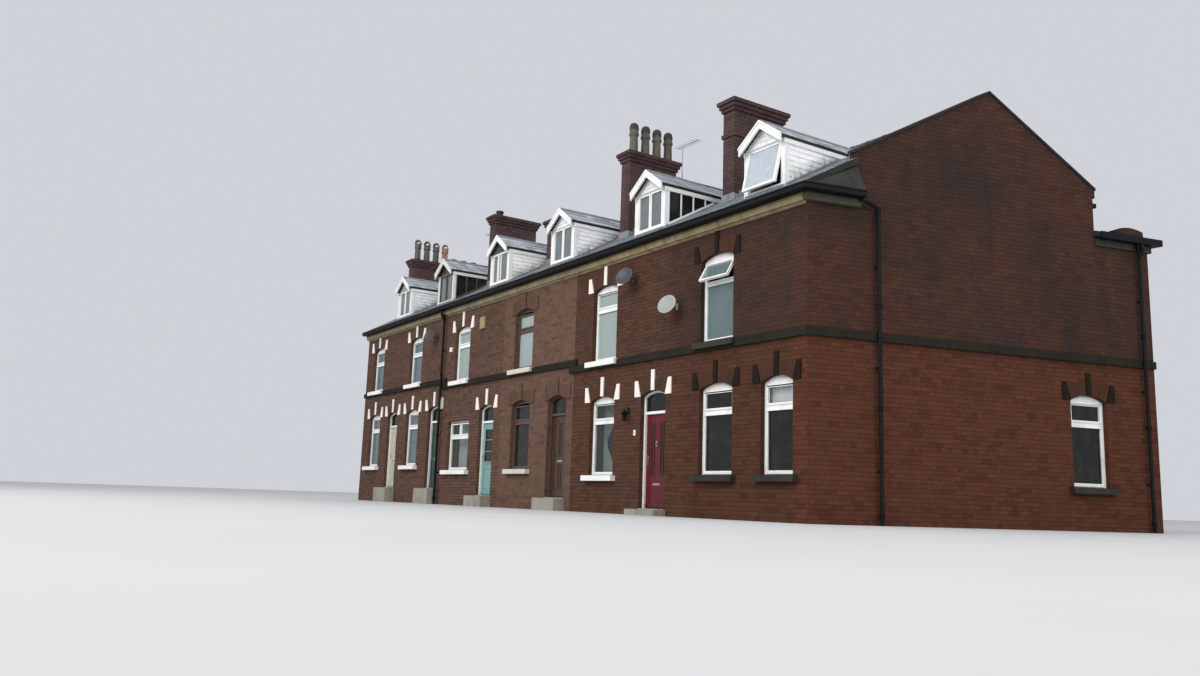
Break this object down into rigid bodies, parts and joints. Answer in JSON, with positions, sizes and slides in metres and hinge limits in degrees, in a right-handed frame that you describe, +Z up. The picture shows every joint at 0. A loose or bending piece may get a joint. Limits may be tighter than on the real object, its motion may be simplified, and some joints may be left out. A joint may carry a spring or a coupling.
{
  "type": "terraced house row",
  "caption": "Brick terrace of two-storey houses with attic dormers, shared chimney stacks, hinged front doors, a skewed gabled corner house and low rear wings.",
  "frame": {"origin": "middle of the bounding box at ground level", "axes": "+X along the street front towards the corner house, +Y from the street front to the back, +Z up"},
  "size_m": [23.5078, 8.2862, 9.7369],
  "materials": {
    "brickwork": "sooty red-brown brick in lime mortar",
    "sandstone": "soot-darkened sandstone",
    "painted_stone": "white masonry paint, worn",
    "slate": "blue-grey slate, wet and mossy",
    "ridge_clay": "weathered clay ridge tiles",
    "pot_clay": "sooty fired clay",
    "white_boards": "white lapped boards",
    "white_joinery": "white window profile",
    "window_glass": "clear glass",
    "black_gutter": "black paint",
    "floor_boards": "plain boards",
    "door_paint": "gloss paint",
    "dish_metal": "dull grey paint",
    "aerial_metal": "weathered"
  },
  "bodies": {
    "building": {"front_wall_ground": "brickwork", "front_wall_upper_right": "brickwork", "front_wall_upper_middle": "brickwork", "front_wall_upper_left": "brickwork", "side_wall": "brickwork", "left_end_wall": "brickwork", "party_walls": "brickwork", "rear_walls": "brickwork", "rear_wall_attic": "brickwork", "wing_side_walls": "brickwork", "wing_rear_walls": "brickwork", "side_stack": "brickwork", "chimney_stacks": "brickwork", "wing_roofs": "slate", "ground_floors": "floor_boards", "first_floors": "floor_boards", "attic_floors": "floor_boards", "wing_floors": "floor_boards", "front_roof_right": "slate", "front_roof_middle": "slate", "front_roof_left": "slate", "gable_coping": "sandstone", "rear_roof": "slate", "ridge_tiles": "ridge_clay", "chimney_pots": "pot_clay", "dormer_fronts": "white_boards", "dormer_cheeks": "white_boards", "dormer_roofs": "slate", "dormer_bargeboards": "white_boards", "dormer_windows": "white_joinery", "dormer_glass": "window_glass", "cornice": "sandstone", "front_gutter": "black_gutter", "rear_gutters": "black_gutter", "string_course": "sandstone", "window_sills": "painted_stone", "window_frames": "white_joinery", "window_glass": "window_glass", "door_frames": "white_joinery", "fanlights": "window_glass", "door_steps": "sandstone", "back_doors": "door_paint", "downpipes": "black_gutter", "satellite_dishes": "dish_metal", "aerials": "aerial_metal", "head_stones": "painted_stone"},
    "door_2": {"front_door_2": "door_paint"},
    "door_3": {"front_door_3": "door_paint"},
    "door_4": {"front_door_4": "door_paint"},
    "door_5": {"front_door_5": "door_paint"},
    "door_6": {"front_door_6": "door_paint"}
  },
  "joints": [
    {"name": "door_2_hinge", "type": "hinge", "parent": "building", "child": "door_2", "pos_m": [5.6691, -3.5589, 0.15], "axis": [0, 0, -1], "range_deg": [0, 90]},
    {"name": "door_3_hinge", "type": "hinge", "parent": "building", "child": "door_3", "pos_m": [1.8241, -3.5589, 0.314], "axis": [0, 0, -1], "range_deg": [0, 90]},
    {"name": "door_4_hinge", "type": "hinge", "parent": "building", "child": "door_4", "pos_m": [-1.8659, -3.5589, 0.314], "axis": [0, 0, -1], "range_deg": [0, 90]},
    {"name": "door_5_hinge", "type": "hinge", "parent": "building", "child": "door_5", "pos_m": [-5.3159, -3.5589, 0.478], "axis": [0, 0, -1], "range_deg": [0, 90]},
    {"name": "door_6_hinge", "type": "hinge", "parent": "building", "child": "door_6", "pos_m": [-8.5959, -3.5589, 0.478], "axis": [0, 0, -1], "range_deg": [0, 90]}
  ]
}
